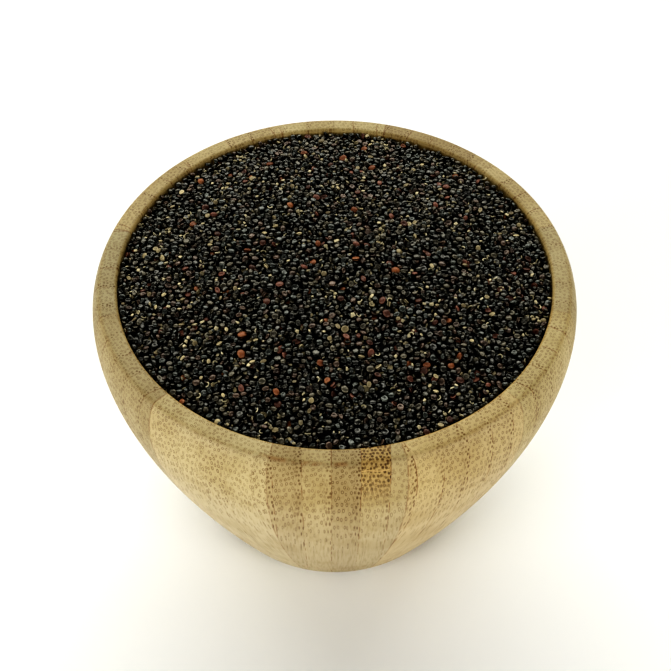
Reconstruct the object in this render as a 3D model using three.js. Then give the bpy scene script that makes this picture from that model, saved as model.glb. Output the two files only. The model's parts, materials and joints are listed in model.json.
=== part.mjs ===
// A bowl turned from laminated bamboo, heaped with black quinoa.
// Millimetres, +Z up. The origin is the centre of the foot's flat underside.
import * as THREE from "three";

// Bowl, outside.
const HEIGHT = 86; // foot to rim
const RIM_RADIUS = 57.5; // outer edge of the flat rim
const MOUTH_RADIUS = 53.15; // inner edge of the flat rim
const SHOULDER_BULGE = 7.8; // how far the wall swells out below the rim
const SHOULDER_DROP = 11.1; // and how far down that swelling pulls
const FOOT_RADIUS = 31.7; // the flat that it stands on
const FOOT_ROUNDING = 6; // radius between the flat and the wall
const FOOT_LEAN = THREE.MathUtils.degToRad(24.2); // wall's lean from upright at the foot
const FOOT_PULL = 43.2; // length over which the wall keeps that lean
const RIM_EDGE = 1; // how far the rim's outer edge is rounded back
const LIP_EDGE = 1.2; // and its inner edge

// Bowl, inside.
const FLOOR_THICKNESS = 11;
const WALL_PULL = 38; // depth over which the inner wall stays steep
const WALL_SWELL = 1; // how far it is undercut there
const FLOOR_PULL = 36; // radius over which the floor stays flat

// Quinoa.
const EDGE_BELOW_RIM = 1.8; // level of the heap where it meets the wall
const CROWN = 7.2; // rise of the heap from its edge to its middle
const SWELLS = 0.35; // height of its slow, uneven swells
const GRAIN_RISE = 0.75; // how far a grain stands out of the heap
const GRAIN_SHIFT = 0.3; // how far a grain lies out of line
const CLEARANCE = 0.35; // gap between the heap and the bowl
const SKIRT = 2; // depth of the heap's plain rim, down to the coarser underside

// Fineness of the two surfaces of revolution and of the heap's top.
const SIDES = 72;
const WALL_STEPS = 13;
const CAVITY_STEPS = 9;
const FOOT_STEPS = 4;
const CORNER_STEPS = 2;
const GRAIN_RINGS = 36;
const RIM_GRAINS = 6 * GRAIN_RINGS;

const bamboo = new THREE.MeshStandardMaterial({ color: 0xc9a469, roughness: 0.5, metalness: 0 });
const blackQuinoa = new THREE.MeshStandardMaterial({ color: 0x211d1b, roughness: 0.55, metalness: 0 });

// The wall's outer curve, from the end of the foot's rounding up to the rim.
function outerWall() {
  const footCentre = new THREE.Vector2(FOOT_RADIUS, FOOT_ROUNDING);
  const outward = new THREE.Vector2(Math.cos(FOOT_LEAN), -Math.sin(FOOT_LEAN));
  const upward = new THREE.Vector2(Math.sin(FOOT_LEAN), Math.cos(FOOT_LEAN));
  const start = footCentre.clone().addScaledVector(outward, FOOT_ROUNDING);
  const end = new THREE.Vector2(RIM_RADIUS, HEIGHT);
  const footHandle = start.clone().addScaledVector(upward, FOOT_PULL);
  const rimHandle = end.clone().add(new THREE.Vector2(SHOULDER_BULGE, -SHOULDER_DROP));
  return new THREE.CubicBezierCurve(start, footHandle, rimHandle, end);
}

// The hollow's curve, from the mouth down to the middle of the floor.
function cavityWall() {
  return new THREE.CubicBezierCurve(
    new THREE.Vector2(MOUTH_RADIUS, HEIGHT),
    new THREE.Vector2(MOUTH_RADIUS + WALL_SWELL, HEIGHT - WALL_PULL),
    new THREE.Vector2(FLOOR_PULL, FLOOR_THICKNESS),
    new THREE.Vector2(0, FLOOR_THICKNESS),
  );
}

// A small rounded corner between two neighbours of the corner point.
function roundedCorner(before, corner, after, reach) {
  const start = corner.clone().addScaledVector(before.clone().sub(corner).normalize(), reach);
  const end = corner.clone().addScaledVector(after.clone().sub(corner).normalize(), reach);
  return new THREE.QuadraticBezierCurve(start, corner, end).getPoints(CORNER_STEPS);
}

function footArc() {
  const points = [];
  for (let step = 0; step < FOOT_STEPS; step++) {
    const angle = -Math.PI / 2 + ((Math.PI / 2 - FOOT_LEAN) * step) / FOOT_STEPS;
    points.push(
      new THREE.Vector2(
        FOOT_RADIUS + FOOT_ROUNDING * Math.cos(angle),
        FOOT_ROUNDING + FOOT_ROUNDING * Math.sin(angle),
      ),
    );
  }
  return points;
}

// The bowl: one closed profile, from under the foot, up the wall, over the rim and down inside.
function bowlGeometry() {
  const wall = outerWall().getPoints(WALL_STEPS);
  const cavity = cavityWall().getSpacedPoints(CAVITY_STEPS);
  const rim = wall.pop();
  const lip = cavity.shift();
  const profile = [
    new THREE.Vector2(0, 0),
    ...footArc(),
    ...wall,
    ...roundedCorner(wall.at(-1), rim, lip, RIM_EDGE),
    ...roundedCorner(rim, lip, cavity[0], LIP_EDGE),
    ...cavity,
  ];
  return new THREE.LatheGeometry(profile, SIDES).rotateX(Math.PI / 2);
}

// A repeatable source of numbers from 0 to 1.
function seededRandom(seed) {
  let state = seed;
  return () => {
    state = (Math.imul(state, 1664525) + 1013904223) >>> 0;
    return state / 2 ** 32;
  };
}

// The heap's level at a point of its top: a low crown with slow swells that fade at the edge.
function heapLevel(x, y, edgeRadius) {
  const inward = 1 - (x * x + y * y) / edgeRadius ** 2;
  const swell = Math.sin(x / 11 + 0.6) * Math.cos(y / 13 - 0.4) + Math.sin((x - y) / 8);
  return HEIGHT - EDGE_BELOW_RIM + inward * (CROWN + SWELLS * swell);
}

// The hollow's curve moved in by the clearance, from the heap's skirt down to its underside.
function heapUnderside() {
  const cavity = cavityWall();
  const points = [];
  for (let step = 0; step <= CAVITY_STEPS; step++) {
    const along = step / CAVITY_STEPS;
    const wall = cavity.getPointAt(along);
    const run = cavity.getTangentAt(along);
    points.push(new THREE.Vector2(wall.x + run.y * CLEARANCE, wall.y - run.x * CLEARANCE));
  }
  points[0].y = HEIGHT - EDGE_BELOW_RIM - SKIRT;
  points.at(-1).x = 0;
  return points;
}

// The heap: a top of rings with six more grains in each than in the last, every third point of
// its triangles raised to a grain, closed by a plain underside that follows the bowl's hollow.
function heapGeometry() {
  const random = seededRandom(17);
  const underside = heapUnderside();
  const edgeRadius = underside[0].x;
  const positions = [];
  const triangles = [];

  // Six directions of a triangular grid, for telling every third point.
  const directions = [[1, 0], [0, 1], [-1, 1], [-1, 0], [0, -1], [1, -1]];
  for (let ring = 0; ring <= GRAIN_RINGS; ring++) {
    const count = Math.max(1, 6 * ring);
    for (let place = 0; place < count; place++) {
      const sector = Math.floor(place / Math.max(1, ring));
      const step = place - sector * ring;
      const [from, to] = [directions[sector], directions[(sector + 1) % 6]];
      const across = from[0] * (ring - step) + to[0] * step;
      const along = from[1] * (ring - step) + to[1] * step;
      const isGrain = (((across - along) % 3) + 3) % 3 === 0;
      const onEdge = ring === GRAIN_RINGS;
      const angle = (2 * Math.PI * place) / count;
      const radius = (edgeRadius * ring) / GRAIN_RINGS;
      const shift = onEdge ? 0 : GRAIN_SHIFT;
      const x = radius * Math.cos(angle) + shift * (2 * random() - 1);
      const y = radius * Math.sin(angle) + shift * (2 * random() - 1);
      const rise = isGrain && !onEdge ? GRAIN_RISE * (0.5 + random()) : 0;
      positions.push(x, y, heapLevel(x, y, edgeRadius) + rise);
    }
  }

  const ringStart = (ring) => (ring === 0 ? 0 : 1 + 3 * ring * (ring - 1));
  const grain = (ring, place) => ringStart(ring) + (ring === 0 ? 0 : place % (6 * ring));
  for (let ring = 1; ring <= GRAIN_RINGS; ring++) {
    for (let sector = 0; sector < 6; sector++) {
      for (let step = 0; step < ring; step++) {
        const outer = sector * ring + step;
        const inner = sector * (ring - 1) + step;
        triangles.push(grain(ring - 1, inner), grain(ring, outer), grain(ring, outer + 1));
        if (step < ring - 1) {
          triangles.push(grain(ring - 1, inner), grain(ring, outer + 1), grain(ring - 1, inner + 1));
        }
      }
    }
  }

  // The underside's rings, each with as many points as the bowl has sides.
  const undersideStart = positions.length / 3;
  for (const point of underside.slice(0, -1)) {
    for (let side = 0; side < SIDES; side++) {
      const angle = (2 * Math.PI * side) / SIDES;
      positions.push(point.x * Math.cos(angle), point.x * Math.sin(angle), point.y);
    }
  }
  const bottom = positions.length / 3;
  positions.push(0, 0, underside.at(-1).y);
  const under = (row, side) => undersideStart + row * SIDES + (side % SIDES);

  // The skirt joins the edge's grains to the underside's first ring.
  const grainsPerSide = RIM_GRAINS / SIDES;
  for (let side = 0; side < SIDES; side++) {
    const first = side * grainsPerSide;
    const middle = first + Math.ceil(grainsPerSide / 2);
    for (let place = first; place < first + grainsPerSide; place++) {
      const nearest = place < middle ? side : side + 1;
      triangles.push(grain(GRAIN_RINGS, place), under(0, nearest), grain(GRAIN_RINGS, place + 1));
    }
    triangles.push(grain(GRAIN_RINGS, middle), under(0, side), under(0, side + 1));
  }
  const rows = underside.length - 1;
  for (let side = 0; side < SIDES; side++) {
    for (let row = 0; row < rows - 1; row++) {
      triangles.push(under(row, side), under(row + 1, side), under(row + 1, side + 1));
      triangles.push(under(row, side), under(row + 1, side + 1), under(row, side + 1));
    }
    triangles.push(under(rows - 1, side), bottom, under(rows - 1, side + 1));
  }

  const geometry = new THREE.BufferGeometry();
  geometry.setAttribute("position", new THREE.Float32BufferAttribute(positions, 3));
  geometry.setIndex(triangles);
  geometry.computeVertexNormals();
  return geometry;
}

const bowl = new THREE.Mesh(bowlGeometry(), bamboo);
bowl.name = "bowl";

const quinoa = new THREE.Mesh(heapGeometry(), blackQuinoa);
quinoa.name = "quinoa";

const dish = new THREE.Group();
dish.add(bowl, quinoa);

export default dish;
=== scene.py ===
import json
import math

import bpy
import numpy as np
from mathutils import Euler, Matrix, Vector

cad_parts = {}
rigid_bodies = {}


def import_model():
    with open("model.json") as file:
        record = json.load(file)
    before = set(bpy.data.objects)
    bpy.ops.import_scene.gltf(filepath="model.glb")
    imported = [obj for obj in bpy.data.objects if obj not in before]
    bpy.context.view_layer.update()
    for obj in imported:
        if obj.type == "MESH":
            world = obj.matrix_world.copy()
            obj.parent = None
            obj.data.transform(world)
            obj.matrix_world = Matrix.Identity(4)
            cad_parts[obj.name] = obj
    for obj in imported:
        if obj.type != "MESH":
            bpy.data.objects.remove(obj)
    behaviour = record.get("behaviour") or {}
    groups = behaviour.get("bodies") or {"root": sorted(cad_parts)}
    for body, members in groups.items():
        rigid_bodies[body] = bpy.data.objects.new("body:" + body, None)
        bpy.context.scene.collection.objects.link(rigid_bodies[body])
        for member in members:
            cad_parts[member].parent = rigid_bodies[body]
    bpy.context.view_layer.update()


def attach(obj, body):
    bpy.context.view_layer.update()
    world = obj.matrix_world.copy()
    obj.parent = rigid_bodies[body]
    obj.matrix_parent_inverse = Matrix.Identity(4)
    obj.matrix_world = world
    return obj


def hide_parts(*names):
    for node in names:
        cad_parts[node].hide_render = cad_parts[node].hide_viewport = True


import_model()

# ------------------------------------------------------------------ the studio
# A pale matt floor under soft panels: two small low ones in front at the sides for the wall, a weak
# one above in front, and a wide one far behind for the sheen on the seeds. The surround is faint,
# and the view is of strong contrast with its faintest tones pressed to black.
MM = 0.001
RIM_HEIGHT = 86.0  # mm, foot to rim: most places below are given from the rim
FLOOR_SIDE = 6.0  # metres
FLOOR_COLOUR = (0.93, 0.95, 0.97, 1.0)
FLOOR_ROUGHNESS = 0.9
PANEL_COLOUR = (1.0, 0.985, 0.95)
BACK_PANEL_COLOUR = (1.0, 0.985, 0.92)
SURROUND_COLOUR = (1.0, 1.0, 1.0, 1.0)
SURROUND_STRENGTH = 0.015
BLACK_LEVEL = (0.0035, 0.0035, 0.0035)

CAMERA_PLACE = (0.2, -199.5, 207.6)  # mm from the middle of the rim
CAMERA_DOWNWARD = math.radians(49.36)
CAMERA_LENS = 62.9  # mm
CAMERA_SENSOR = 36.0  # mm
NEAREST_SEEN = 0.01  # metres from the camera

scene = bpy.context.scene
scene.view_settings.view_transform = "Standard"
scene.view_settings.look = "Very High Contrast"
scene.view_settings.use_curve_mapping = True
scene.view_settings.curve_mapping.black_level = BLACK_LEVEL
scene.view_settings.curve_mapping.update()


def from_rim(spot):
    """A place given in millimetres from the middle of the rim, in metres from the foot."""
    return Vector((spot[0], spot[1], spot[2] + RIM_HEIGHT)) * MM


def soft_light(name, spot, width, height, power, colour):
    """A panel of light that faces the middle of the rim; its sides in metres, its power in watts."""
    panel = bpy.data.lights.new(name, "AREA")
    panel.shape = "RECTANGLE"
    panel.size = width
    panel.size_y = height
    panel.energy = power
    panel.color = colour
    light = bpy.data.objects.new(name, panel)
    light.location = from_rim(spot)
    facing = from_rim((0, 0, 0)) - light.location
    light.rotation_euler = facing.to_track_quat("-Z", "Y").to_euler()
    scene.collection.objects.link(light)


def plain_material(name, colour, roughness):
    material = bpy.data.materials.new(name)
    material.use_nodes = True
    shader = material.node_tree.nodes["Principled BSDF"]
    shader.inputs["Base Color"].default_value = colour
    shader.inputs["Roughness"].default_value = roughness
    return material


camera = bpy.data.objects.new("camera", bpy.data.cameras.new("camera"))
camera.data.lens = CAMERA_LENS
camera.data.sensor_width = CAMERA_SENSOR
camera.data.clip_start = NEAREST_SEEN
camera.location = from_rim(CAMERA_PLACE)
camera.rotation_euler = (math.pi / 2 - CAMERA_DOWNWARD, 0, 0)
scene.collection.objects.link(camera)
scene.camera = camera

half = FLOOR_SIDE / 2
floor_corners = [(-half, -half, 0), (half, -half, 0), (half, half, 0), (-half, half, 0)]
floor_mesh = bpy.data.meshes.new("floor")
floor_mesh.from_pydata(floor_corners, [], [(0, 1, 2, 3)])
floor_mesh.materials.append(plain_material("pale_floor", FLOOR_COLOUR, FLOOR_ROUGHNESS))
floor = bpy.data.objects.new("floor", floor_mesh)
scene.collection.objects.link(floor)

surround = bpy.data.worlds.new("surround")
surround.use_nodes = True
surround.node_tree.nodes["Background"].inputs["Color"].default_value = SURROUND_COLOUR
surround.node_tree.nodes["Background"].inputs["Strength"].default_value = SURROUND_STRENGTH
scene.world = surround

soft_light("left_panel", (-510, -380, 110), 0.34, 0.34, 1.8, PANEL_COLOUR)
soft_light("right_panel", (490, -400, 110), 0.34, 0.34, 1.48, PANEL_COLOUR)
soft_light("front_panel", (-120, -420, 560), 0.5, 0.5, 0.72, PANEL_COLOUR)
soft_light("back_panel", (-60, 1300, 1080), 3.4, 0.9, 31.0, BACK_PANEL_COLOUR)


# -------------------------------------------------------------------- the bowl
# One bowl, turned on a lathe from a block of bamboo strips glued side by side in twelve mitred
# staves, sanded and thinly oiled. The rim is flat, the shoulder swells, the foot is narrow.
RIM_RADIUS = 57.5  # outer edge of the flat rim
MOUTH_RADIUS = 53.15  # inner edge of the flat rim
SHOULDER_BULGE = 7.8  # how far the wall swells out below the rim
SHOULDER_DROP = 11.1  # and how far down that swelling pulls
FOOT_RADIUS = 31.7  # the flat that it stands on
FOOT_ROUNDING = 6.0
FOOT_LEAN = math.radians(24.2)  # the wall's lean from upright at the foot
FOOT_PULL = 43.2  # length over which the wall keeps that lean
RIM_EDGE = 1.0  # how far the rim's outer edge is rounded back
LIP_EDGE = 1.2  # and its inner edge
FLOOR_THICKNESS = 11.0
WALL_PULL = 38.0  # depth over which the inner wall stays steep
WALL_SWELL = 1.0  # how far it is undercut there
FLOOR_PULL = 36.0  # radius over which the floor stays flat
BOWL_SIDES = 288
FOOT_STEPS, WALL_STEPS, CORNER_STEPS, CAVITY_STEPS = 8, 36, 6, 40
SAME_POINT = 0.004  # mm, within which two points of a turned skin are one

STAVES = 12
STAVE_START = math.radians(-14.4)  # a mitre seam, counted from the front towards the right
STAVE_SHIFT = 4.0  # the most that a stave's strips lie out of line
STRIP_WIDTH = 6.42
STRIP_SEAM = -1.3  # a glue seam of the front stave, from that stave's middle
STRIP_SEED = 258.4
FIBRE_LEAN = math.radians(69.0)  # how steeply the fibres climb outwards
SKIN_STRIP = 1.0  # the front stave's strip with the darkest vessels, counted from its middle seam
SCAR_LEVEL = 84.1  # mm above the foot

# Vessels: the distance between them in mm, how much fainter a ring is above and below than at its
# sides, and the ring's tone by the distance from its middle in mm.
RING_VESSELS = (1.03, 0.45, ((0.0, 0.0), (0.165, 0.0), (0.22, 1.0), (0.285, 1.0), (0.34, 0.0)))
CLOSE_VESSELS = (0.84, 0.30, ((0.0, 0.9), (0.14, 1.0), (0.25, 1.0), (0.31, 0.0)))
SKIN_VESSELS = (0.88, 0.20, ((0.0, 0.9), (0.18, 1.0), (0.30, 1.0), (0.37, 0.0)))
ROWS_A_COLUMN = 1.1547  # rows of vessels in the height of a column's width
ROW_HEIGHT = 0.866  # and a row's height for that width

# Tones of the wood: three of its ground and one of the scar, and then those that multiply it.
PALE_STRIP = (0.55, 0.462, 0.268, 1)
BROWN_STRIP = (0.45, 0.36, 0.195, 1)
SIDE_GRAIN = (0.58, 0.50, 0.35, 1)
SCAR = (0.58, 0.42, 0.18, 1)
FINE_STREAKS = (0.84, 0.80, 0.72, 1)
BROAD_PATCHES = (0.90, 0.87, 0.80, 1)
VESSEL_WALLS = (0.40, 0.275, 0.13, 1)
NEAR_SKIN = (0.95, 0.84, 0.62, 1)
NEAR_SKIN_VESSELS = (0.28, 0.19, 0.08, 1)
STRIP_GLUE = (0.62, 0.42, 0.26, 1)
STAVE_GLUE = (0.58, 0.37, 0.22, 1)
# painted shade that darkens the rim's upward faces a little
RIM_TOP_PAINTED_SHADE = (0.96, 0.97, 0.96, 1)
BURNISHED = (0.86, 0.70, 0.58, 1)
GOLDEN_EDGE = (1.0, 0.92, 0.70, 1)
STAVE_TONES = (  # from the back, round by the left, the front and the right
    (1.0, 1.02, 1.0), (0.96, 0.95, 0.90), (0.92, 0.90, 0.85), (0.84, 0.88, 0.93),
    (0.80, 0.80, 0.79), (0.97, 0.98, 0.99), (0.92, 0.91, 0.88), (1.04, 1.01, 0.95),
    (0.97, 0.97, 0.92), (0.86, 0.87, 0.87), (0.95, 0.94, 0.90), (0.80, 0.76, 0.66),
)


def bezier(start, start_handle, end_handle, end, steps):
    """Points of a cubic curve, its end left out."""
    t = np.arange(steps)[:, None] / steps
    corners = [np.array(corner, float) for corner in (start, start_handle, end_handle, end)]
    weights = ((1 - t) ** 3, 3 * (1 - t) ** 2 * t, 3 * (1 - t) * t * t, t**3)
    return list(sum(weight * corner for weight, corner in zip(weights, corners)))


def rounded_corner(before, corner, after, reach):
    """A corner eased over by a small curve between its two sides."""
    before, corner, after = (np.array(point, float) for point in (before, corner, after))
    start = corner + reach * (before - corner) / np.linalg.norm(before - corner)
    end = corner + reach * (after - corner) / np.linalg.norm(after - corner)
    t = np.linspace(0, 1, CORNER_STEPS + 1)[:, None]
    return list((1 - t) ** 2 * start + 2 * (1 - t) * t * corner + t * t * end)


def cavity_curve(steps):
    """The hollow, from the mouth down to the middle of the floor."""
    mouth = (MOUTH_RADIUS, RIM_HEIGHT)
    steep = (MOUTH_RADIUS + WALL_SWELL, RIM_HEIGHT - WALL_PULL)
    return bezier(mouth, steep, (FLOOR_PULL, FLOOR_THICKNESS), (0, FLOOR_THICKNESS), steps)


def bowl_profile():
    """From the middle of the foot, out and up the wall, over the rim and down inside."""
    points = [(FOOT_RADIUS * part, 0) for part in (0, 0.4, 0.8)]
    for angle in np.linspace(-math.pi / 2, -FOOT_LEAN, FOOT_STEPS + 1)[:-1]:
        reach = FOOT_ROUNDING * np.array((math.cos(angle), math.sin(angle)))
        points.append((FOOT_RADIUS + reach[0], FOOT_ROUNDING + reach[1]))
    outward = np.array((math.cos(FOOT_LEAN), -math.sin(FOOT_LEAN)))
    upward = np.array((math.sin(FOOT_LEAN), math.cos(FOOT_LEAN)))
    wall_start = np.array((FOOT_RADIUS, FOOT_ROUNDING)) + FOOT_ROUNDING * outward
    crease = np.array((RIM_RADIUS, RIM_HEIGHT))
    shoulder = crease + (SHOULDER_BULGE, -SHOULDER_DROP)
    wall = bezier(wall_start, wall_start + FOOT_PULL * upward, shoulder, crease, WALL_STEPS)
    lip, *cavity = cavity_curve(CAVITY_STEPS)
    points += wall
    points += rounded_corner(wall[-1], crease, lip, RIM_EDGE)
    points += rounded_corner(crease, lip, cavity[0], LIP_EDGE)
    points += cavity
    points.append((0, FLOOR_THICKNESS))
    return points


def place(tree, kind, inputs=None, **settings):
    """Add a node to a tree, with its settings, and its inputs given as values or as links."""
    node = tree.nodes.new(kind)
    for name, value in settings.items():
        setattr(node, name, value)
    for name, value in (inputs or {}).items():
        if isinstance(value, bpy.types.NodeSocket):
            tree.links.new(value, node.inputs[name])
        else:
            node.inputs[name].default_value = value
    return node


def reckon(tree, operation, *terms):
    """The outcome of one sum, as a socket."""
    return place(tree, "ShaderNodeMath", dict(enumerate(terms)), operation=operation).outputs[0]


def length_of(tree, across, up):
    """The length of a flat vector of two parts."""
    flat = place(tree, "ShaderNodeCombineXYZ", {"X": across, "Y": up})
    return place(tree, "ShaderNodeVectorMath", {0: flat.outputs[0]}, operation="LENGTH").outputs["Value"]


def between(tree, value, low, high):
    """0 below one limit, 1 above the other, smooth between."""
    return place(tree, "ShaderNodeMapRange", {"Value": value, "From Min": low, "From Max": high},
                 interpolation_type="SMOOTHSTEP").outputs[0]


def noise(tree, vector, scale, detail):
    """Soft random patches, about 0.5."""
    made = place(tree, "ShaderNodeTexNoise", {"Vector": vector, "Scale": scale, "Detail": detail})
    return made.outputs[0]


def blend(tree, amount, under, over, blend_type="MIX"):
    """One colour laid over another, or multiplied into it, by an amount."""
    mixed = place(tree, "ShaderNodeMix", {0: amount, 6: under, 7: over},
                  data_type="RGBA", blend_type=blend_type)
    return mixed.outputs[2]


def fill_ramp(ramp, stops):
    """Give a ramp its stops, each a position and a colour."""
    for number, (position, colour) in enumerate(stops):
        stop = ramp.elements[number] if number < 2 else ramp.elements.new(position)
        stop.position = position
        stop.color = (*colour, 1)


def geometry_tree(name, inputs):
    """A new geometry tree that takes geometry and the named inputs, and gives geometry."""
    tree = bpy.data.node_groups.new(name, "GeometryNodeTree")
    tree.interface.new_socket("Geometry", in_out="INPUT", socket_type="NodeSocketGeometry")
    for label, kind in inputs.items():
        tree.interface.new_socket(label, in_out="INPUT", socket_type="NodeSocket" + kind)
    tree.interface.new_socket("Geometry", in_out="OUTPUT", socket_type="NodeSocketGeometry")
    return tree, tree.nodes.new("NodeGroupInput"), tree.nodes.new("NodeGroupOutput")


def set_inputs(modifier, tree, values):
    """Give a modifier its tree and the tree's named inputs."""
    modifier.node_group = tree
    for item in tree.interface.items_tree:
        if item.in_out == "INPUT" and item.name in values:
            modifier[item.identifier] = values[item.name]


def smooth_and_coat(tree, geometry, material, result):
    """End a tree with a smooth skin of one material."""
    smooth = place(tree, "GeometryNodeSetShadeSmooth", {"Geometry": geometry, "Shade Smooth": True})
    coated = place(tree, "GeometryNodeSetMaterial", {"Geometry": smooth.outputs[0], "Material": material})
    tree.links.new(coated.outputs[0], result.inputs[0])


def turning_tree():
    """A profile's points, counted along its mesh, turned about the upright axis into a closed skin."""
    tree, given, result = geometry_tree("turned", {"Sides": "Int", "Material": "Material"})
    profile = given.outputs["Geometry"]
    count = place(tree, "GeometryNodeAttributeDomainSize", {0: profile}, component="MESH")
    rows = count.outputs["Point Count"]
    columns = reckon(tree, "ADD", given.outputs["Sides"], 1.0)
    grid = place(tree, "GeometryNodeMeshGrid", {
        "Size X": 1.0, "Size Y": 1.0, "Vertices X": columns, "Vertices Y": rows})
    where = place(tree, "ShaderNodeSeparateXYZ", {0: place(tree, "GeometryNodeInputPosition").outputs[0]})
    turn = reckon(tree, "MULTIPLY_ADD", where.outputs["X"], math.tau, math.pi)
    last_row = reckon(tree, "SUBTRACT", rows, 1.0)
    part_way = reckon(tree, "ADD", where.outputs["Y"], 0.5)
    row = reckon(tree, "ROUND", reckon(tree, "MULTIPLY", part_way, last_row))
    point = place(tree, "GeometryNodeSampleIndex", data_type="FLOAT_VECTOR", domain="POINT", inputs={
        "Geometry": profile, "Value": place(tree, "GeometryNodeInputPosition").outputs[0], "Index": row})
    point = place(tree, "ShaderNodeSeparateXYZ", {0: point.outputs["Value"]})
    turned = place(tree, "ShaderNodeCombineXYZ", {
        "X": reckon(tree, "MULTIPLY", point.outputs["X"], reckon(tree, "COSINE", turn)),
        "Y": reckon(tree, "MULTIPLY", point.outputs["X"], reckon(tree, "SINE", turn)),
        "Z": point.outputs["Z"]})
    skin = place(tree, "GeometryNodeSetPosition", {
        "Geometry": grid.outputs["Mesh"], "Position": turned.outputs[0]})
    joined = place(tree, "GeometryNodeMergeByDistance", {
        "Geometry": skin.outputs[0], "Distance": SAME_POINT * MM})
    smooth_and_coat(tree, joined.outputs[0], given.outputs["Material"], result)
    return tree


def new_piece(name, points):
    """An object whose mesh is a row or cloud of points, in metres."""
    mesh = bpy.data.meshes.new(name)
    mesh.from_pydata([tuple(point) for point in points], [], [])
    piece = bpy.data.objects.new(name, mesh)
    scene.collection.objects.link(piece)
    return piece


def finish_mesh(piece):
    """Turn the outcome of a piece's modifiers into its plain mesh, and drop the modifiers."""
    bpy.context.view_layer.update()
    shown = piece.evaluated_get(bpy.context.evaluated_depsgraph_get())
    made = bpy.data.meshes.new_from_object(shown)
    piece.modifiers.clear()
    piece.data = made
    made.name = piece.name


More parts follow.
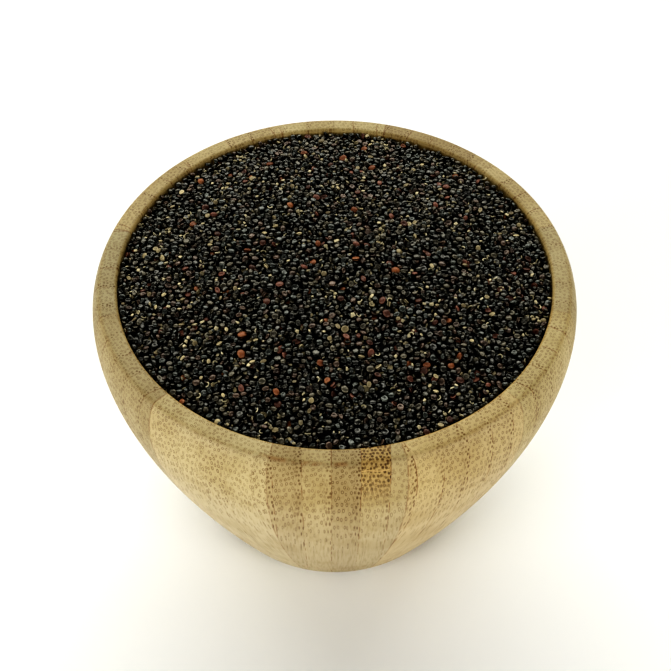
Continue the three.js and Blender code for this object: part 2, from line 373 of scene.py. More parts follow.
def bamboo_material():
    """Each point's place in the lamination is worked out first, and then the tones are laid on."""
    material = bpy.data.materials.new("laminated_bamboo")
    material.use_nodes = True
    tree = material.node_tree
    shader = tree.nodes["Principled BSDF"]

    def plus(first, second):
        return reckon(tree, "ADD", first, second)

    def minus(first, second):
        return reckon(tree, "SUBTRACT", first, second)

    def times(first, second):
        return reckon(tree, "MULTIPLY", first, second)

    def scaled(value, factor, level):
        """A value times a factor, plus a level."""
        return reckon(tree, "MULTIPLY_ADD", value, factor, level)

    def equals(value, other):
        return reckon(tree, "COMPARE", value, other, 0.1)

    def darken(colour, amount, tone):
        return blend(tree, amount, colour, tone, "MULTIPLY")

    # Where a point lies: its stave, its strip, and its place across and along the fibres, in mm.
    here = place(tree, "ShaderNodeTexCoord")
    in_mm = place(tree, "ShaderNodeVectorMath", {0: here.outputs["Object"], "Scale": 1 / MM},
                  operation="SCALE").outputs[0]
    x, y, z = place(tree, "ShaderNodeSeparateXYZ", {0: in_mm}).outputs
    bearing = reckon(tree, "ARCTAN2", x, times(y, -1.0))
    stave_angle = math.tau / STAVES
    staves_round = reckon(tree, "DIVIDE", minus(bearing, STAVE_START), stave_angle)
    staves_round = reckon(tree, "WRAP", staves_round, STAVES / 2, -STAVES / 2)
    stave = reckon(tree, "FLOOR", staves_round)
    middle = scaled(plus(stave, 0.5), stave_angle, STAVE_START)
    cosine, sine = reckon(tree, "COSINE", middle), reckon(tree, "SINE", middle)
    sideways = plus(times(x, cosine), times(y, sine))
    outward = minus(times(x, sine), times(y, cosine))
    # Each stave's strips are shifted a little; the front stave keeps its own place.
    stave_lot = place(tree, "ShaderNodeTexWhiteNoise", {"W": stave}, noise_dimensions="1D")
    off_front = reckon(tree, "MINIMUM", reckon(tree, "ABSOLUTE", stave), 1.0)
    shift = times(times(stave_lot.outputs["Value"], off_front), STAVE_SHIFT)
    strips_across = reckon(tree, "DIVIDE", minus(sideways, plus(shift, STRIP_SEAM)), STRIP_WIDTH)
    strip = reckon(tree, "FLOOR", strips_across)
    across = minus(strips_across, strip)
    # In every third stave the strips' skin sides lie to the other hand.
    laid_over = equals(reckon(tree, "FLOORED_MODULO", stave, 3.0), 2.0)
    to_skin = scaled(across, scaled(laid_over, -2.0, 1.0), laid_over)
    strip_name = place(tree, "ShaderNodeCombineXYZ", {"X": stave, "Y": strip, "Z": STRIP_SEED})
    strip_lot = place(tree, "ShaderNodeTexWhiteNoise", {"Vector": strip_name.outputs[0]},
                      noise_dimensions="3D")
    second_lot = place(tree, "ShaderNodeSeparateColor", {0: strip_lot.outputs["Color"]}).outputs[0]
    upright = minus(times(outward, math.sin(FIBRE_LEAN)), times(z, math.cos(FIBRE_LEAN)))
    along = plus(times(outward, math.cos(FIBRE_LEAN)), times(z, math.sin(FIBRE_LEAN)))
    # Strips and staves are far apart in the grain's pattern, so that it breaks off at every seam.
    drifted = plus(upright, scaled(strip, 37.0, times(stave, 91.0)))

    # How squarely the surface cuts the fibres: ends on the rim, sides low on the wall.
    facing_x, facing_y, facing_z = place(tree, "ShaderNodeSeparateXYZ", {0: here.outputs["Normal"]}).outputs
    facing_out = minus(times(facing_x, sine), times(facing_y, cosine))
    squareness = reckon(tree, "ABSOLUTE", plus(
        times(facing_out, math.cos(FIBRE_LEAN)), times(facing_z, math.sin(FIBRE_LEAN))))
    end_grain = between(tree, squareness, 0.0, 0.4)

    # Ground colour: one tone for each stave and strip, mottled, paler where the fibres lie along it.
    # The stave left of the front one shows almost as one board.
    even = equals(reckon(tree, "FLOORED_MODULO", strip, 2.0), 0.0)
    strips_show = scaled(equals(stave, -1.0), -0.8, 1.0)
    brownness = scaled(strip_lot.outputs["Value"], 0.8, times(even, 0.2))
    brownness = times(times(brownness, scaled(off_front, -0.4, 1.0)), strips_show)
    ground = blend(tree, brownness, PALE_STRIP, BROWN_STRIP)
    ground = blend(tree, scaled(end_grain, -0.6, 0.6), ground, SIDE_GRAIN)
    stave_tone = place(tree, "ShaderNodeValToRGB", {
        0: reckon(tree, "DIVIDE", plus(stave, 0.5 + STAVES / 2), STAVES)})
    stave_tone.color_ramp.interpolation = "CONSTANT"
    fill_ramp(stave_tone.color_ramp, [(number / STAVES, tone) for number, tone in enumerate(STAVE_TONES)])
    ground = darken(ground, 1.0, stave_tone.outputs[0])
    grain_place = place(tree, "ShaderNodeCombineXYZ", {
        "X": sideways, "Y": drifted, "Z": times(along, 0.05)})
    fine = noise(tree, grain_place.outputs[0], 2.2, 3.0)
    ground = darken(ground, between(tree, fine, 0.45, 0.75), FINE_STREAKS)
    ground = darken(ground, between(tree, noise(tree, in_mm, 0.09, 2.0), 0.4, 0.7), BROAD_PATCHES)

    # Vessels, cut across, in staggered rows: rings with a dark cap on either side where they are
    # sparse, and small close dots towards each strip's skin side. They are smaller where the
    # surface runs along the fibres, and fade towards the foot.
    shrink = scaled(between(tree, squareness, 0.06, 0.22), -0.8, 1.85)

    def vessels(spacing, caps, ring_stops):
        row = times(drifted, ROWS_A_COLUMN / spacing)
        column = scaled(sideways, 1 / spacing, times(row, -0.5))
        spot = place(tree, "ShaderNodeCombineXYZ", {"X": column, "Y": row}).outputs[0]
        cells = place(tree, "ShaderNodeTexVoronoi", {"Vector": spot, "Scale": 1.0, "Randomness": 0.55},
                      voronoi_dimensions="2D")
        depth_lot, size_lot, _ = place(
            tree, "ShaderNodeSeparateColor", {0: cells.outputs["Color"]}).outputs
        offset = place(tree, "ShaderNodeVectorMath", {0: spot, 1: cells.outputs["Position"]},
                       operation="SUBTRACT")
        columns_off, rows_off, _ = place(tree, "ShaderNodeSeparateXYZ", {0: offset.outputs[0]}).outputs
        aside = times(scaled(rows_off, 0.5, columns_off), spacing)
        reach = length_of(tree, aside, times(rows_off, spacing * ROW_HEIGHT))
        ring = place(tree, "ShaderNodeValToRGB", {0: times(reach, scaled(size_lot, 0.3, shrink))})
        fill_ramp(ring.color_ramp, [(position, (tone, tone, tone)) for position, tone in ring_stops])
        sideness = reckon(tree, "DIVIDE", reckon(tree, "ABSOLUTE", aside), plus(reach, 0.001))
        strength = times(scaled(depth_lot, 0.4, 0.75), scaled(sideness, caps, 1 - caps))
        return times(ring.outputs[0], strength)

    dense = times(between(tree, to_skin, 0.6, 1.0), strips_show)
    marks = plus(times(vessels(*RING_VESSELS), minus(1.0, dense)), times(vessels(*CLOSE_VESSELS), dense))
    marks = times(marks, scaled(second_lot, 0.5, 0.75))
    marks = times(marks, scaled(between(tree, z, 28.0, 50.0), 0.7, 0.3))
    marks = reckon(tree, "MINIMUM", marks, 1.0)
    colour = darken(ground, marks, VESSEL_WALLS)

    # One strip of the front stave was cut so near the culm's skin that its upper end is nearly all
    # dark vessels, crossed by a pale scar.
    skin_strip = times(equals(stave, 0.0), equals(strip, SKIN_STRIP))
    skin_strip = times(skin_strip, between(tree, z, 70.0, RIM_HEIGHT))
    colour = darken(colour, skin_strip, NEAR_SKIN)
    colour = darken(colour, times(skin_strip, vessels(*SKIN_VESSELS)), NEAR_SKIN_VESSELS)
    scar_level = scaled(reckon(tree, "SINE", times(sideways, 0.8)), -0.22, SCAR_LEVEL)
    from_scar = reckon(tree, "ABSOLUTE", minus(z, scar_level))
    scar = times(minus(1.0, between(tree, from_scar, 0.05, 0.2)), skin_strip)
    colour = blend(tree, scar, colour, SCAR)

    # Glue seams between strips and between staves, which show in some places and not in others.
    seam_shows = between(tree, noise(tree, in_mm, 0.25, 2.0), 0.42, 0.62)
    from_strip_seam = times(reckon(tree, "MINIMUM", across, minus(1.0, across)), STRIP_WIDTH)
    strip_line = times(minus(1.0, between(tree, from_strip_seam, 0.03, 0.16)), strips_show)
    colour = darken(colour, times(strip_line, seam_shows), STRIP_GLUE)
    past_seam = minus(staves_round, stave)
    seam_angle = times(reckon(tree, "MINIMUM", past_seam, minus(1.0, past_seam)), stave_angle)
    stave_line = minus(1.0, between(tree, times(seam_angle, outward), 0.06, 0.26))
    colour = darken(colour, times(stave_line, scaled(seam_shows, 0.5, 0.15)), STAVE_GLUE)

    # The flat rim's upward faces are darkened a little as painted shade, the crease below it is burnished
    # in patches, most at the front left, and the rim's inner edge and the top of the hollow's wall are
    # golden brown.
    colour = darken(colour, between(tree, facing_z, 0.75, 0.97), RIM_TOP_PAINTED_SHADE)
    from_axis = length_of(tree, x, y)
    from_crease = length_of(tree, minus(from_axis, RIM_RADIUS), minus(z, RIM_HEIGHT))
    burnish = minus(1.0, between(tree, from_crease, 0.15, 0.85))
    burnish = times(burnish, between(tree, noise(tree, in_mm, 0.35, 3.0), 0.40, 0.6))
    front_left = times(between(tree, x, -18.0, -13.0), minus(1.0, between(tree, x, 2.0, 6.0)))
    colour = darken(colour, times(burnish, scaled(front_left, 0.75, 0.25)), BURNISHED)
    inner_edge = minus(1.0, between(tree, from_axis, MOUTH_RADIUS, MOUTH_RADIUS + 0.9))
    inner_edge = times(inner_edge, between(tree, z, RIM_HEIGHT - 12, RIM_HEIGHT - 8))
    colour = darken(colour, inner_edge, GOLDEN_EDGE)

    tree.links.new(colour, shader.inputs["Base Color"])
    tree.links.new(scaled(fine, 0.2, 0.42), shader.inputs["Roughness"])
    pits = place(tree, "ShaderNodeBump", {
        "Strength": 0.35, "Distance": 0.05 * MM, "Height": times(marks, -1.0)})
    tree.links.new(pits.outputs[0], shader.inputs["Normal"])
    shader.inputs["Specular IOR Level"].default_value = 0.4
    return material


turned = turning_tree()
bowl = new_piece("turned_bamboo_bowl", [(radius * MM, 0, height * MM) for radius, height in bowl_profile()])
set_inputs(bowl.modifiers.new("turned", "NODES"), turned, {
    "Sides": BOWL_SIDES, "Material": bamboo_material()})
finish_mesh(bowl)
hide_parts("bowl")
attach(bowl, "root")


# ------------------------------------------------------------ the heap's core
# The seeds that are out of sight, as one dark body that fills the bowl's hollow up to just under
# the loose seeds on top, with low bumps of their size where a gap lets it show.
EDGE_BELOW_RIM = 1.8  # level of the heap where it meets the wall
CROWN = 7.2  # rise of the heap from its edge to its middle
SWELLS = 0.35  # height of its slow, uneven swells
CLEARANCE = 0.35  # gap between the heap and the bowl
CORE_BELOW_TOP = 1.9  # depth of the core under the heap's level
CORE_SIDES = 360
CORE_RINGS = 100
CORE_WALL_STEPS = 36
# Nearly black: the hidden seeds' own dark colour, deepened as painted shade for the gaps between loose
# seeds.
CORE_COLOUR_AND_SHADE = (0.002, 0.002, 0.002, 1)
CORE_ROUGHNESS = 0.7
BUMP_SIZE = 1.6
BUMP_RISE = 0.6


def heap_level(x, y):
    """The heap's top at a place, in mm: a low crown with slow swells that fade at the edge."""
    inward = 1 - (x * x + y * y) / MOUTH_RADIUS**2
    swell = np.sin(x / 11 + 0.6) * np.cos(y / 13 - 0.4) + np.sin((x - y) / 8)
    return RIM_HEIGHT - EDGE_BELOW_RIM + inward * (CROWN + SWELLS * swell)


def core_profile():
    """From the middle of the floor, up the hollow's wall, and in over the crown."""
    wall = [np.array(point) for point in cavity_curve(CORE_WALL_STEPS)]
    inner = []
    for before, after in zip(wall[1:-1], wall[2:]):
        run = (after - before) / np.linalg.norm(after - before)
        inner.append(before + CLEARANCE * np.array((run[1], -run[0])))
    edge = inner[0][0]
    points = [(0, FLOOR_THICKNESS + CLEARANCE)] + inner[::-1]
    for ring in range(CORE_RINGS, -1, -1):
        radius = edge * ring / CORE_RINGS
        inward = 1 - (radius / MOUTH_RADIUS) ** 2
        points.append((radius, RIM_HEIGHT - EDGE_BELOW_RIM - CORE_BELOW_TOP + inward * CROWN))
    return points


def bump_tree():
    """Rounded bumps raised on the top of a body."""
    tree, given, result = geometry_tree("bumps", {"Size": "Float", "Rise": "Float"})
    here = place(tree, "GeometryNodeInputPosition").outputs[0]
    cells = place(tree, "ShaderNodeTexVoronoi", {
        "Vector": here, "Scale": reckon(tree, "DIVIDE", 1.0, given.outputs["Size"]), "Randomness": 0.9})
    dome = reckon(tree, "SUBTRACT", 1.0, reckon(tree, "POWER", cells.outputs["Distance"], 2.0))
    normal = place(tree, "ShaderNodeSeparateXYZ", {0: place(tree, "GeometryNodeInputNormal").outputs[0]})
    on_top = reckon(tree, "GREATER_THAN", normal.outputs["Z"], 0.5)
    rise = reckon(tree, "MULTIPLY", reckon(tree, "MULTIPLY", dome, given.outputs["Rise"]), on_top)
    upward = place(tree, "ShaderNodeCombineXYZ", {"Z": rise})
    raised = place(tree, "GeometryNodeSetPosition", {
        "Geometry": given.outputs["Geometry"], "Offset": upward.outputs[0]})
    tree.links.new(raised.outputs[0], result.inputs[0])
    return tree


core = new_piece("quinoa_core", [(radius * MM, 0, height * MM) for radius, height in core_profile()])
core_material = plain_material("deep_seeds", CORE_COLOUR_AND_SHADE, CORE_ROUGHNESS)
set_inputs(core.modifiers.new("turned", "NODES"), turned, {"Sides": CORE_SIDES, "Material": core_material})
set_inputs(core.modifiers.new("bumps", "NODES"), bump_tree(), {
    "Size": BUMP_SIZE * MM, "Rise": BUMP_RISE * MM})
finish_mesh(core)
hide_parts("quinoa")
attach(core, "root")


# ------------------------------------------------------- the loose seeds' places
# Dry seeds poured onto the heap: each drops where it is let go, and of several ways to lie takes
# the one in which it sinks deepest among those already there. Seeds are flattened round grains.
CELL = 0.14  # mm, fineness of the record of the heap's top
REACH = 9  # cells from a seed's middle to the edge of its patch
DROPS = 38000  # seeds let go; those that find no room on the heap are left out
WAYS = 6  # in which a seed may lie where it is let go
STRAY = 0.45  # mm that it rolls on from there, otherwise for each way to lie
HEAP_LOOSENESS = 0.15  # mm that a seed's middle may lie above the heap's level
EDGE_LOOSENESS = 0.6  # and how much more at the wall, where seeds lean over the lip
EDGE_WIDTH = 1.2  # mm from the wall
WALL_MARGIN = 0.2  # mm from the wall, within which no seed is let go
HIDDEN_DEPTH = 1.3  # mm below the heap's level, past which a covered seed is left out
BARE_SHARE = 0.03  # of a seed's upper side, below which it counts as covered
BARE_DEPTH = 0.02  # mm below the heap's top, down to which a seed's skin counts as bare
NOWHERE = -1e9  # mm, the level of a seed's skin where there is no seed

SLANT = 18.0  # degrees, the usual lean of a seed
STEEPEST_SLANT = 85.0
STEEP_SHARE = 0.2  # of the seeds, which stand more steeply
STEEP_SLANTS = (35.0, 90.0)
SMALLEST, LARGEST = 0.7, 2.45  # mm, a seed's width
BREADTHS = (0.58, 0.96)  # its second width for its first
THICKNESSES = (0.88, 1.12)  # its thickness for that of its kind

# Kinds: share of all grains, width in mm and its spread, thickness for its width.
SEED_KINDS = {
    "jet": (0.20, 1.77, 0.20, 0.46),
    "black": (0.23, 1.75, 0.21, 0.46),
    "slate": (0.19, 1.77, 0.21, 0.46),
    "ash": (0.15, 1.74, 0.22, 0.46),
    "umber": (0.10, 1.77, 0.21, 0.46),
    "maroon": (0.030, 2.08, 0.22, 0.44),
    "amber": (0.012, 2.22, 0.16, 0.46),
    "tan": (0.024, 1.60, 0.24, 0.40),
    "germ": (0.027, 1.52, 0.2, 0.26),
    "chip": (0.036, 1.28, 0.25, 0.28),
}


def seed_rotations(random, count):
    """Turn matrices of seeds that lie nearly flat, some standing steeply."""
    tilt = np.radians(np.minimum(random.rayleigh(SLANT, count), STEEPEST_SLANT))
    steep = random.random(count) < STEEP_SHARE
    tilt = np.where(steep, np.radians(random.uniform(*STEEP_SLANTS, count)), tilt)
    heading, spin = random.uniform(0, math.tau, (2, count))
    turns = []
    for angles in zip(spin, tilt, heading):
        about_own_axis = Euler((0, 0, angles[0])).to_matrix()
        leaned = Euler((angles[1], 0, 0)).to_matrix()
        faced = Euler((0, 0, angles[2])).to_matrix()
        turns.append(np.array(faced @ leaned @ about_own_axis))
    return np.array(turns)


def pour_seeds():
    """The places, turns, sizes and kinds of the seeds that show, by dropping them one by one."""
    random = np.random.default_rng(5)
    names = list(SEED_KINDS)
    facts = np.array([SEED_KINDS[name] for name in names])
    kinds = random.choice(len(names), DROPS, p=facts[:, 0] / facts[:, 0].sum())
    width = np.clip(random.normal(facts[kinds, 1], facts[kinds, 2]), SMALLEST, LARGEST)
    breadth = width * random.uniform(*BREADTHS, DROPS)
    thickness = width * facts[kinds, 3] * random.uniform(*THICKNESSES, DROPS)
    half_sizes = np.stack([width, breadth, thickness], 1) / 2

    cells = int(2 * (MOUTH_RADIUS + 3) / CELL)
    middle = cells // 2
    steps = (np.arange(cells) - middle) * CELL
    ground_x, ground_y = np.meshgrid(steps, steps)
    top = heap_level(ground_x, ground_y) - CORE_BELOW_TOP
    top[np.hypot(ground_x, ground_y) > MOUTH_RADIUS] = RIM_HEIGHT

    patch = np.arange(-REACH, REACH + 1)
    rows, columns = (offset.ravel() for offset in np.meshgrid(patch, patch, indexing="ij"))
    dx, dy = columns * CELL, rows * CELL
    squares = np.stack([dx * dx, 2 * dx * dy, dy * dy])
    turns = seed_rotations(random, DROPS * WAYS).reshape(DROPS, WAYS, 3, 3)
    radius = (MOUTH_RADIUS - WALL_MARGIN) * np.sqrt(random.random(DROPS))
    bearing = random.uniform(0, math.tau, DROPS)
    drop_x, drop_y = radius * np.cos(bearing), radius * np.sin(bearing)
    stray = random.normal(0, STRAY, (DROPS, WAYS, 2))

    # A seed is an ellipsoid. Over each cell of its patch its skins lie at its middle's height less
    # lean / lift, plus and minus reach.
    settled, upper_skins = [], []
    for drop in range(DROPS):
        turn = turns[drop]
        form = turn @ (turn / half_sizes[drop] ** 2).transpose(0, 2, 1)
        lift = form[:, 2, 2][:, None]
        lean = form[:, 0, 2][:, None] * dx + form[:, 1, 2][:, None] * dy
        rest = form[:, [0, 0, 1], [0, 1, 1]] @ squares - 1
        inside = lean * lean - lift * rest
        reach = np.sqrt(np.maximum(inside, 0)) / lift
        column = np.rint((drop_x[drop] + stray[drop, :, 0]) / CELL).astype(int) + middle
        row = np.rint((drop_y[drop] + stray[drop, :, 1]) / CELL).astype(int) + middle
        below = top[row[:, None] + rows, column[:, None] + columns]
        heights = np.where(inside > 0, below + lean / lift + reach, NOWHERE).max(1)
        x, y = (column - middle) * CELL, (row - middle) * CELL
        above_level = heights - heap_level(x, y)
        way = int(np.argmin(above_level))
        at_wall = math.hypot(x[way], y[way]) > MOUTH_RADIUS - EDGE_WIDTH
        if above_level[way] > HEAP_LOOSENESS + at_wall * EDGE_LOOSENESS:
            continue
        upper = np.where(inside[way] > 0, heights[way] - lean[way] / lift[way] + reach[way], NOWHERE)
        covered = (row[way] + rows, column[way] + columns)
        top[covered] = np.maximum(top[covered], upper)
        settled.append((drop, way, x[way], y[way], heights[way], above_level[way]))
        upper_skins.append((row[way], column[way], upper))

    # A seed shows if some of its upper side is still the heap's top, or it lies near the top.
    shown = []
    for (*_, above_level), (row, column, upper) in zip(settled, upper_skins):
        bare = upper > top[row + rows, column + columns] - BARE_DEPTH
        shown.append(bare.sum() > BARE_SHARE * (upper > NOWHERE).sum() or above_level > -HIDDEN_DEPTH)
    settled = np.array(settled)[np.array(shown)]
    order = settled[:, 0].astype(int)
    way = settled[:, 1].astype(int)
    return {
        "place": settled[:, 2:5], "turn": turns[order, way], "size": half_sizes[order],
        "kind": np.array(names)[kinds[order]],
    }


seeds = pour_seeds()


# ------------------------------------------------------------- the loose seeds
# Black quinoa is a flattened round grain, its germ curled round the edge as a raised ring about a
# dented or domed middle, with a dull waxy skin. Some are worn grey, brown, red or amber, and pale
# germs that have come away, and chips of seed, lie among them.
GRAIN_SIDES = 10
# Levels of a grain's upper middle, of the ring round it, of the germ, and of the lower middle.
GRAIN_FORMS = {
    "domed": (1.0, 0.88, 0.58, 0.9),
    "rounded": (0.92, 0.86, 0.66, 0.8),
    "plump": (1.05, 0.96, 0.62, 0.9),
    "dented": (0.52, 0.66, 0.73, 0.7),
    "cupped": (0.10, 0.38, 0.81, 0.8),
}
INNER_RING, RAISED_RING = 0.46, 0.80  # radii, for a grain of radius 1
NOTCH_REACH, NOTCH_LEVEL = 0.88, 0.45  # where the germ's two ends meet, the grain is drawn in
GERM_FORMS = {"open_germ": (2.7, 0.32), "short_germ": (1.9, 0.36), "curled_germ": (3.8, 0.28)}
GERM_BEADS, GERM_SIDES = 8, 5
CHIP_FORMS = {"splinter": 5, "shard": 4}  # numbers of corners
UNEVENNESS = 0.16  # mm that a seed's points are pushed out of its pattern
LUMP_SIZE = 1.0
TINT_SKEW = 1.2  # more of each kind's seeds are dark than light

# Skin colours of each kind: dark, light, and the raised ring's paler tone, partly rubbed wear
# and partly painted highlight.
SEED_SKINS = {
    "jet": ((0.001, 0.001, 0.001), (0.005, 0.005, 0.004), (0.032, 0.033, 0.027)),
    "black": ((0.002, 0.002, 0.002), (0.011, 0.011, 0.009), (0.07, 0.07, 0.054)),
    "slate": ((0.004, 0.005, 0.004), (0.024, 0.028, 0.024), (0.10, 0.11, 0.09)),
    "ash": ((0.012, 0.011, 0.008), (0.075, 0.068, 0.047), (0.24, 0.218, 0.154)),
    "umber": ((0.012, 0.008, 0.006), (0.075, 0.050, 0.036), (0.20, 0.142, 0.10)),
    "maroon": ((0.05, 0.02, 0.014), (0.27, 0.115, 0.079), (0.36, 0.19, 0.133)),
    "amber": ((0.18, 0.062, 0.026), (0.38, 0.158, 0.066), (0.42, 0.225, 0.12)),
    "tan": ((0.17, 0.135, 0.072), (0.63, 0.545, 0.325), (0.76, 0.68, 0.455)),
    "germ": ((0.28, 0.25, 0.14), (0.76, 0.69, 0.455), (0.82, 0.77, 0.56)),
    "chip": ((0.16, 0.135, 0.077), (0.78, 0.70, 0.457), (0.81, 0.74, 0.507)),
}
# Finish of each kind: the colour of its sheen, its roughness and its gloss.
SEED_FINISHES = {
    "jet": ((1.0, 1.0, 0.94), 0.31, 1.0),
    "black": ((1.0, 0.98, 0.87), 0.31, 1.0),
    "slate": ((0.96, 1.0, 0.95), 0.31, 1.0),
    "ash": ((1.0, 0.95, 0.82), 0.34, 1.0),
    "umber": ((1.0, 0.86, 0.76), 0.34, 1.0),
    "maroon": ((1.0, 0.88, 0.80), 0.44, 0.6),
    "amber": ((1.0, 0.95, 0.9), 0.46, 0.4),
    "tan": ((1.0, 1.0, 1.0), 0.48, 0.4),
    "germ": ((1.0, 1.0, 1.0), 0.48, 0.4),
    "chip": ((1.0, 1.0, 1.0), 0.48, 0.4),
}
SEED_IOR = 1.55
MOTTLE_SIZE = 0.5  # mm
WRINKLE_SIZE, WRINKLE_DEPTH = 0.32, 0.10  # mm


def grain_form(name, middle, inner, germ, under_middle):
    """A grain of radius 1 and half thickness 1, in rings of points."""
    points = [(0, 0, middle)]
    for radius, level in ((INNER_RING, inner), (RAISED_RING, germ), (1.0, 0.0), (RAISED_RING, -germ)):
        for side in range(GRAIN_SIDES):
            angle = math.tau * side / GRAIN_SIDES
            notched = side == 0 and radius >= RAISED_RING
            reach = radius * (NOTCH_REACH if notched else 1)
            height = level * (NOTCH_LEVEL if notched else 1)
            points.append((reach * math.cos(angle), reach * math.sin(angle), height))
    points.append((0, 0, -under_middle))
    faces = []
    for side in range(GRAIN_SIDES):
        after = (side + 1) % GRAIN_SIDES
        faces.append((0, 1 + side, 1 + after))
        for ring in range(3):
            upper, lower = 1 + ring * GRAIN_SIDES, 1 + (ring + 1) * GRAIN_SIDES
            faces.append((upper + side, lower + side, lower + after, upper + after))
        last = 1 + 3 * GRAIN_SIDES
        faces.append((last + side, len(points) - 1, last + after))
    return pattern_mesh(name, points, faces)


def germ_form(name, turn, thickness):
    """A germ come away from its grain: a tapered ring of outer radius 1, open beyond its turn."""
    points, faces = [], []
    for bead in range(GERM_BEADS + 1):
        part_way = bead / GERM_BEADS
        angle = turn * part_way
        thick = thickness * (0.45 + 0.55 * math.sin(math.pi * (0.12 + 0.76 * part_way)))
        for side in range(GERM_SIDES):
            across = math.tau * side / GERM_SIDES
            radius = 1 - thickness + thick * math.cos(across)
            height = thick * math.sin(across) / thickness
            points.append((radius * math.cos(angle), radius * math.sin(angle), height))
    for bead in range(GERM_BEADS):
        for side in range(GERM_SIDES):
            after = (side + 1) % GERM_SIDES
            here, there = bead * GERM_SIDES, (bead + 1) * GERM_SIDES
            faces.append((here + side, there + side, there + after, here + after))
    faces.append(tuple(range(GERM_SIDES)))
    faces.append(tuple(GERM_BEADS * GERM_SIDES + side for side in reversed(range(GERM_SIDES))))
    return pattern_mesh(name, points, faces)


def chip_form(name, corners):
    """A splinter of seed: three uneven rings of corners, closed at both ends."""
    points = []
    for level, spread in ((-0.9, 0.8), (0.0, 1.0), (0.9, 0.6)):
        for corner in range(corners):
            angle = math.tau * (corner + 0.3 * math.sin(5 * corner + level)) / corners
            points.append((spread * math.cos(angle), spread * math.sin(angle), level))
    faces = [tuple(reversed(range(corners))), tuple(2 * corners + corner for corner in range(corners))]
    for ring in range(2):
        for corner in range(corners):
            after = (corner + 1) % corners
            here, there = ring * corners, (ring + 1) * corners
            faces.append((here + corner, here + after, there + after, there + corner))
    return pattern_mesh(name, points, faces)


def pattern_mesh(name, points, faces):
    """A pattern, with each point's distance from its upright axis kept as "ring"."""
    mesh = bpy.data.meshes.new(name)
    mesh.from_pydata(points, [], faces)
    reach = [math.hypot(x, y) for x, y, _ in points]
    mesh.attributes.new("ring", "FLOAT", "POINT").data.foreach_set("value", reach)
    return bpy.data.objects.new(name, mesh)


def pattern_shelf(name, patterns):
    """A collection of patterns for one kind of grain, outside the scene."""
    shelf = bpy.data.collections.new(name)
    for pattern in patterns:
        shelf.objects.link(pattern)
    return shelf


def sowing_tree():
    """Put a pattern on every point, turned and sized by the point, and make each copy uneven."""
    tree, given, result = geometry_tree("sown", {
        "Patterns": "Collection", "Unevenness": "Float", "Lump Size": "Float", "Material": "Material"})

    def kept(name, kind):
        return place(tree, "GeometryNodeInputNamedAttribute", {"Name": name}, data_type=kind).outputs[0]

    shelf = place(tree, "GeometryNodeCollectionInfo", {
        "Collection": given.outputs["Patterns"], "Separate Children": True, "Reset Children": True})
    turn = place(tree, "FunctionNodeEulerToRotation", {0: kept("turn", "FLOAT_VECTOR")})
    cloud = place(tree, "GeometryNodeMeshToPoints", {"Mesh": given.outputs["Geometry"]})
    copies = place(tree, "GeometryNodeInstanceOnPoints", {
        "Points": cloud.outputs[0], "Instance": shelf.outputs[0], "Pick Instance": True,
        "Instance Index": kept("form", "INT"), "Rotation": turn.outputs[0],
        "Scale": kept("size", "FLOAT_VECTOR")})
    joined = place(tree, "GeometryNodeRealizeInstances", {0: copies.outputs[0]})
    here = place(tree, "GeometryNodeInputPosition").outputs[0]
    lumps = place(tree, "ShaderNodeTexNoise", {
        "Vector": here, "Scale": reckon(tree, "DIVIDE", 1.0, given.outputs["Lump Size"]), "Detail": 1.0})
    centred = place(tree, "ShaderNodeVectorMath", {0: lumps.outputs["Color"], 1: (0.5, 0.5, 0.5)},
                    operation="SUBTRACT")
    push = place(tree, "ShaderNodeVectorMath", {0: centred.outputs[0], "Scale": given.outputs["Unevenness"]},
                 operation="SCALE")
    uneven = place(tree, "GeometryNodeSetPosition", {
        "Geometry": joined.outputs[0], "Offset": push.outputs[0]})
    smooth_and_coat(tree, uneven.outputs[0], given.outputs["Material"], result)
    return tree


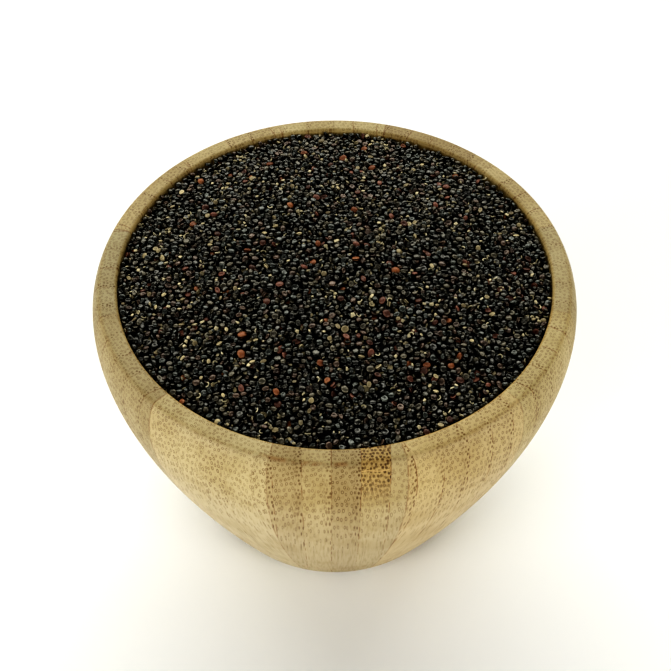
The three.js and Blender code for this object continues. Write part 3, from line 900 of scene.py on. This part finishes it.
def seed_material(name, dark, light, edge, sheen, roughness, gloss):
    """A waxy seed skin: its own tint for each seed, the raised ring paler in patches as wear and painted
    highlight, and the outer edge, where seeds touch, black as painted shade and without gloss."""
    material = bpy.data.materials.new(name)
    material.use_nodes = True
    tree = material.node_tree
    shader = tree.nodes["Principled BSDF"]
    tint = place(tree, "ShaderNodeAttribute", attribute_name="tint").outputs["Fac"]
    ring = place(tree, "ShaderNodeAttribute", attribute_name="ring").outputs["Fac"]
    here = place(tree, "ShaderNodeTexCoord").outputs["Object"]
    skin = blend(tree, tint, (*dark, 1), (*light, 1))
    worn = between(tree, noise(tree, here, 1 / (MOTTLE_SIZE * MM), 3.0), 0.42, 0.62)
    # The raised ring paler in patches: partly rubbed wear, partly a painted highlight.
    ring_wear_and_highlight = between(tree, ring, 0.58, 0.76)
    ring_wear_and_highlight = reckon(tree, "MULTIPLY", ring_wear_and_highlight, reckon(tree, "MULTIPLY_ADD", worn, 0.65, 0.35))
    ring_wear_and_highlight = reckon(tree, "MULTIPLY", ring_wear_and_highlight, reckon(tree, "MULTIPLY_ADD", tint, 0.75, 0.25))
    skin = blend(tree, ring_wear_and_highlight, skin, (*edge, 1))
    # The outer edge, where seeds touch, is painted black as shade between them, and its gloss is cut as
    # well.
    painted_gap_shade = between(tree, ring, 0.86, 0.97)
    skin = blend(tree, reckon(tree, "MULTIPLY", painted_gap_shade, 0.95), skin, (0, 0, 0, 1))
    tree.links.new(skin, shader.inputs["Base Color"])
    shader.inputs["Roughness"].default_value = roughness
    shader.inputs["IOR"].default_value = SEED_IOR
    shader.inputs["Specular Tint"].default_value = (*sheen, 1)
    shader.inputs["Specular IOR Level"].default_value = gloss
    gloss_here = reckon(tree, "MULTIPLY_ADD", painted_gap_shade, -0.85 * gloss, gloss)
    tree.links.new(gloss_here, shader.inputs["Specular IOR Level"])
    wrinkles = place(tree, "ShaderNodeBump", {
        "Strength": 0.6, "Distance": WRINKLE_DEPTH * MM,
        "Height": noise(tree, here, 1 / (WRINKLE_SIZE * MM), 2.0)})
    tree.links.new(wrinkles.outputs[0], shader.inputs["Normal"])
    return material


grain_forms = pattern_shelf("grain_forms", [grain_form(name, *form) for name, form in GRAIN_FORMS.items()])
germ_forms = pattern_shelf("germ_forms", [germ_form(name, *form) for name, form in GERM_FORMS.items()])
chip_forms = pattern_shelf("chip_forms", [chip_form(name, corners) for name, corners in CHIP_FORMS.items()])
special_forms = {"germ": germ_forms, "chip": chip_forms}
sown = sowing_tree()
tints = np.random.default_rng(11)

for kind in SEED_KINDS:
    chosen = seeds["kind"] == kind
    patterns = special_forms.get(kind, grain_forms)
    piece = new_piece(f"quinoa_{kind}", seeds["place"][chosen] * MM)
    count = int(chosen.sum())
    turns = np.array([Matrix(turn).to_euler() for turn in seeds["turn"][chosen]])
    keep = piece.data.attributes.new
    keep("turn", "FLOAT_VECTOR", "POINT").data.foreach_set("vector", turns.ravel())
    keep("size", "FLOAT_VECTOR", "POINT").data.foreach_set("vector", (seeds["size"][chosen] * MM).ravel())
    keep("form", "INT", "POINT").data.foreach_set("value", tints.integers(0, len(patterns.objects), count))
    keep("tint", "FLOAT", "POINT").data.foreach_set("value", tints.random(count) ** TINT_SKEW)
    set_inputs(piece.modifiers.new("sown", "NODES"), sown, {
        "Patterns": patterns, "Unevenness": UNEVENNESS * MM, "Lump Size": LUMP_SIZE * MM,
        "Material": seed_material(f"{kind}_skin", *SEED_SKINS[kind], *SEED_FINISHES[kind])})
    finish_mesh(piece)
    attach(piece, "root")

for shelf in (grain_forms, germ_forms, chip_forms):
    for pattern in list(shelf.objects):
        bpy.data.objects.remove(pattern)
    bpy.data.collections.remove(shelf)
